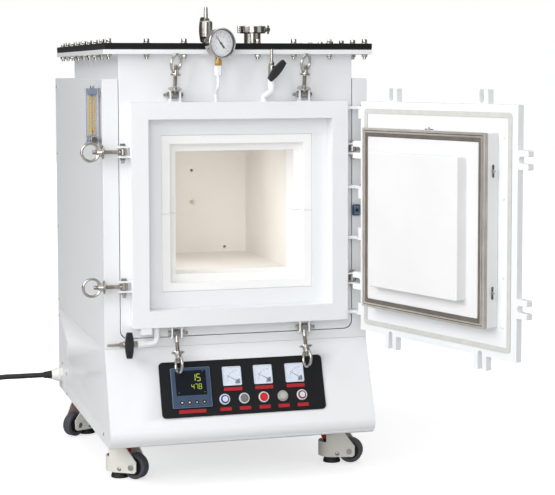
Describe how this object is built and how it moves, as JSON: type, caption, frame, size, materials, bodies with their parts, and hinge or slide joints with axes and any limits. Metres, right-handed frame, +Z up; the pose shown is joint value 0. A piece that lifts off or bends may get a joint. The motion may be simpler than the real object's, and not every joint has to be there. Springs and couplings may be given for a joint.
{
  "type": "atmosphere muffle furnace",
  "caption": "Bench-height atmosphere muffle furnace on levelling casters, with a clamped front door open on its hinges, a bolted lid and a sloping control panel.",
  "frame": {"origin": "on the floor under the middle of the plan of the furnace with its door open, cord left out", "axes": "+X to the right of the furnace as seen from its front, +Y to its back, +Z up"},
  "size_m": [1.2325, 1.3912, 1.1453],
  "materials": {
    "white_paint": "white powder coat",
    "black_paint": "black satin paint",
    "insulation_board": "vacuum-formed ceramic fibre board",
    "hot_face_board": "hard ceramic fibre board",
    "heater_alloy": "oxidised resistance alloy strip",
    "ceramic_tube": "alumina sheath",
    "black_rubber": "black rubber",
    "lever_grip": "black moulded grip",
    "stainless": "turned stainless steel",
    "polished_steel": "folded stainless sheet",
    "clear_acrylic": "clear acrylic block",
    "blue_plastic": "blue moulded plastic",
    "meter_white": "pale moulded plastic under a clear cover",
    "button_blue": "blue lens",
    "button_grey": "grey lens",
    "button_red": "red lens",
    "seal_rubber": "silicone rubber",
    "jacket_sheet": "white coated sheet",
    "caster_paint": "off-white paint",
    "wheel_nylon": "dark grey nylon",
    "white_plastic": "white nylon"
  },
  "bodies": {
    "furnace": {"lower_cabinet": "white_paint", "upper_housing": "white_paint", "vessel": "white_paint", "door_frame": "white_paint", "insulation_block": "insulation_board", "collar_upper": "hot_face_board", "collar_lower": "hot_face_board", "heating_element": "heater_alloy", "thermocouple": "ceramic_tube", "lid_plate": "black_paint", "control_panel": "black_paint", "lid_gasket": "black_rubber", "mains_cable": "black_rubber", "mains_coil": "black_rubber", "vacuum_port": "stainless", "vacuum_cap": "stainless", "vacuum_clamp": "stainless", "inlet_valve": "stainless", "outlet_valve": "stainless", "lid_valve": "stainless", "pressure_gauge": "stainless", "flow_meter": "clear_acrylic", "door_switch": "blue_plastic", "temperature_controller": "blue_plastic", "mains_plug": "blue_plastic", "panel_meter_1": "meter_white", "panel_meter_2": "meter_white", "panel_meter_3": "meter_white", "cable_gland": "white_plastic"},
    "door": {"door_plate": "white_paint", "door_seal": "seal_rubber", "door_jacket": "jacket_sheet", "door_heat_ring": "polished_steel", "door_plug": "hot_face_board"},
    "swing_bolt_left_upper": {"swing_bolt_left_upper": "stainless"},
    "swing_bolt_right_upper": {"swing_bolt_right_upper": "stainless"},
    "swing_bolt_left_lower": {"swing_bolt_left_lower": "stainless"},
    "swing_bolt_right_lower": {"swing_bolt_right_lower": "stainless"},
    "swing_bolt_top_left": {"swing_bolt_top_left": "stainless"},
    "swing_bolt_top_right": {"swing_bolt_top_right": "stainless"},
    "swing_bolt_bottom_left": {"swing_bolt_bottom_left": "stainless"},
    "swing_bolt_bottom_right": {"swing_bolt_bottom_right": "stainless"},
    "gauge_needle": {"gauge_needle": "black_paint"},
    "inlet_lever": {"inlet_valve_lever": "lever_grip"},
    "outlet_lever": {"outlet_valve_lever": "lever_grip"},
    "lid_lever": {"lid_valve_lever": "lever_grip"},
    "flow_knob": {"flow_meter_knob": "stainless"},
    "button_1": {"push_button_1": "button_blue"},
    "button_2": {"push_button_2": "button_grey"},
    "button_3": {"push_button_3": "button_red"},
    "button_4": {"push_button_4": "button_grey"},
    "button_5": {"push_button_5": "button_grey"},
    "caster_front_left": {"caster_front_left": "caster_paint"},
    "wheel_front_left": {"wheel_front_left": "wheel_nylon"},
    "caster_front_right": {"caster_front_right": "caster_paint"},
    "wheel_front_right": {"wheel_front_right": "wheel_nylon"},
    "caster_rear_left": {"caster_rear_left": "caster_paint"},
    "wheel_rear_left": {"wheel_rear_left": "wheel_nylon"},
    "caster_rear_right": {"caster_rear_right": "caster_paint"},
    "wheel_rear_right": {"wheel_rear_right": "wheel_nylon"}
  },
  "joints": [
    {"name": "door_hinge", "type": "hinge", "parent": "furnace", "child": "door", "pos_m": [0.24742, -0.11844, 0.651], "axis": [0, 0, 1], "range_deg": [-108, 12]},
    {"name": "swing_bolt_left_upper_pivot", "type": "hinge", "parent": "furnace", "child": "swing_bolt_left_upper", "pos_m": [-0.32858, -0.07644, 0.801], "axis": [0, 0, -1], "range_deg": [-90, 5]},
    {"name": "swing_bolt_right_upper_pivot", "type": "hinge", "parent": "furnace", "child": "swing_bolt_right_upper", "pos_m": [0.23542, -0.07644, 0.801], "axis": [0, 0, 1], "range_deg": [-58, 5]},
    {"name": "swing_bolt_left_lower_pivot", "type": "hinge", "parent": "furnace", "child": "swing_bolt_left_lower", "pos_m": [-0.32858, -0.07644, 0.485], "axis": [0, 0, -1], "range_deg": [-90, 5]},
    {"name": "swing_bolt_right_lower_pivot", "type": "hinge", "parent": "furnace", "child": "swing_bolt_right_lower", "pos_m": [0.23542, -0.07644, 0.485], "axis": [0, 0, 1], "range_deg": [-58, 5]},
    {"name": "swing_bolt_top_left_pivot", "type": "hinge", "parent": "furnace", "child": "swing_bolt_top_left", "pos_m": [-0.20458, -0.07644, 0.933], "axis": [-1, 0, 0], "range_deg": [-76, 0]},
    {"name": "swing_bolt_top_right_pivot", "type": "hinge", "parent": "furnace", "child": "swing_bolt_top_right", "pos_m": [0.11142, -0.07644, 0.933], "axis": [-1, 0, 0], "range_deg": [-76, 0]},
    {"name": "swing_bolt_bottom_left_pivot", "type": "hinge", "parent": "furnace", "child": "swing_bolt_bottom_left", "pos_m": [-0.20458, -0.07644, 0.369], "axis": [1, 0, 0], "range_deg": [-69, 0]},
    {"name": "swing_bolt_bottom_right_pivot", "type": "hinge", "parent": "furnace", "child": "swing_bolt_bottom_right", "pos_m": [0.11142, -0.07644, 0.369], "axis": [1, 0, 0], "range_deg": [-69, 0]},
    {"name": "gauge_needle_turn", "type": "hinge", "parent": "furnace", "child": "gauge_needle", "pos_m": [-0.10658, -0.10744, 1.053], "axis": [0.2756, -0.9613, 0], "range_deg": [-173, 97]},
    {"name": "inlet_valve_turn", "type": "hinge", "parent": "furnace", "child": "inlet_lever", "pos_m": [0.02342, -0.10744, 0.9893], "axis": [0.342, -0.9397, 0], "range_deg": [-45, 45]},
    {"name": "outlet_valve_turn", "type": "hinge", "parent": "furnace", "child": "outlet_lever", "pos_m": [-0.31988, -0.07644, 0.347], "axis": [0, -1, 0], "range_deg": [-90, 0]},
    {"name": "lid_valve_turn", "type": "hinge", "parent": "furnace", "child": "lid_lever", "pos_m": [-0.08858, 0.08856, 1.0903], "axis": [0, 1, 0], "range_deg": [0, 90]},
    {"name": "flow_knob_turn", "type": "hinge", "parent": "furnace", "child": "flow_knob", "pos_m": [-0.39158, -0.04444, 0.829], "axis": [0, -1, 0], "range_deg": [0, 300]},
    {"name": "button_1_press", "type": "slide", "parent": "furnace", "child": "button_1", "axis": [0, 0.9397, -0.342], "range_m": [0, 0.003], "stiffness_N_per_m": 200, "springref_m": -0.002},
    {"name": "button_2_press", "type": "slide", "parent": "furnace", "child": "button_2", "axis": [0, 0.9397, -0.342], "range_m": [0, 0.003], "stiffness_N_per_m": 200, "springref_m": -0.002},
    {"name": "button_3_press", "type": "slide", "parent": "furnace", "child": "button_3", "axis": [0, 0.9397, -0.342], "range_m": [0, 0.003], "stiffness_N_per_m": 200, "springref_m": -0.002},
    {"name": "button_4_press", "type": "slide", "parent": "furnace", "child": "button_4", "axis": [0, 0.9397, -0.342], "range_m": [0, 0.003], "stiffness_N_per_m": 200, "springref_m": -0.002},
    {"name": "button_5_press", "type": "slide", "parent": "furnace", "child": "button_5", "axis": [0, 0.9397, -0.342], "range_m": [0, 0.003], "stiffness_N_per_m": 200, "springref_m": -0.002},
    {"name": "caster_front_left_swivel", "type": "hinge", "parent": "furnace", "child": "caster_front_left", "pos_m": [-0.31858, 0.05556, 0.101], "axis": [0, 0, 1], "continuous": true},
    {"name": "wheel_front_left_spin", "type": "hinge", "parent": "caster_front_left", "child": "wheel_front_left", "pos_m": [-0.28523, 0.02103, 0.032], "axis": [0.7193, 0.6947, 0], "continuous": true},
    {"name": "caster_front_right_swivel", "type": "hinge", "parent": "furnace", "child": "caster_front_right", "pos_m": [0.22542, 0.05556, 0.101], "axis": [0, 0, 1], "continuous": true},
    {"name": "wheel_front_right_spin", "type": "hinge", "parent": "caster_front_right", "child": "wheel_front_right", "pos_m": [0.26819, 0.03377, 0.032], "axis": [0.454, 0.891, 0], "continuous": true},
    {"name": "caster_rear_left_swivel", "type": "hinge", "parent": "furnace", "child": "caster_rear_left", "pos_m": [-0.31858, 0.55556, 0.101], "axis": [0, 0, 1], "continuous": true},
    {"name": "wheel_rear_left_spin", "type": "hinge", "parent": "caster_rear_left", "child": "wheel_rear_left", "pos_m": [-0.3579, 0.52803, 0.032], "axis": [0.5736, -0.8192, 0], "continuous": true},
    {"name": "caster_rear_right_swivel", "type": "hinge", "parent": "furnace", "child": "caster_rear_right", "pos_m": [0.22542, 0.55556, 0.101], "axis": [0, 0, 1], "continuous": true},
    {"name": "wheel_rear_right_spin", "type": "hinge", "parent": "caster_rear_right", "child": "wheel_rear_right", "pos_m": [0.18032, 0.57198, 0.032], "axis": [-0.342, -0.9397, 0], "continuous": true}
  ]
}
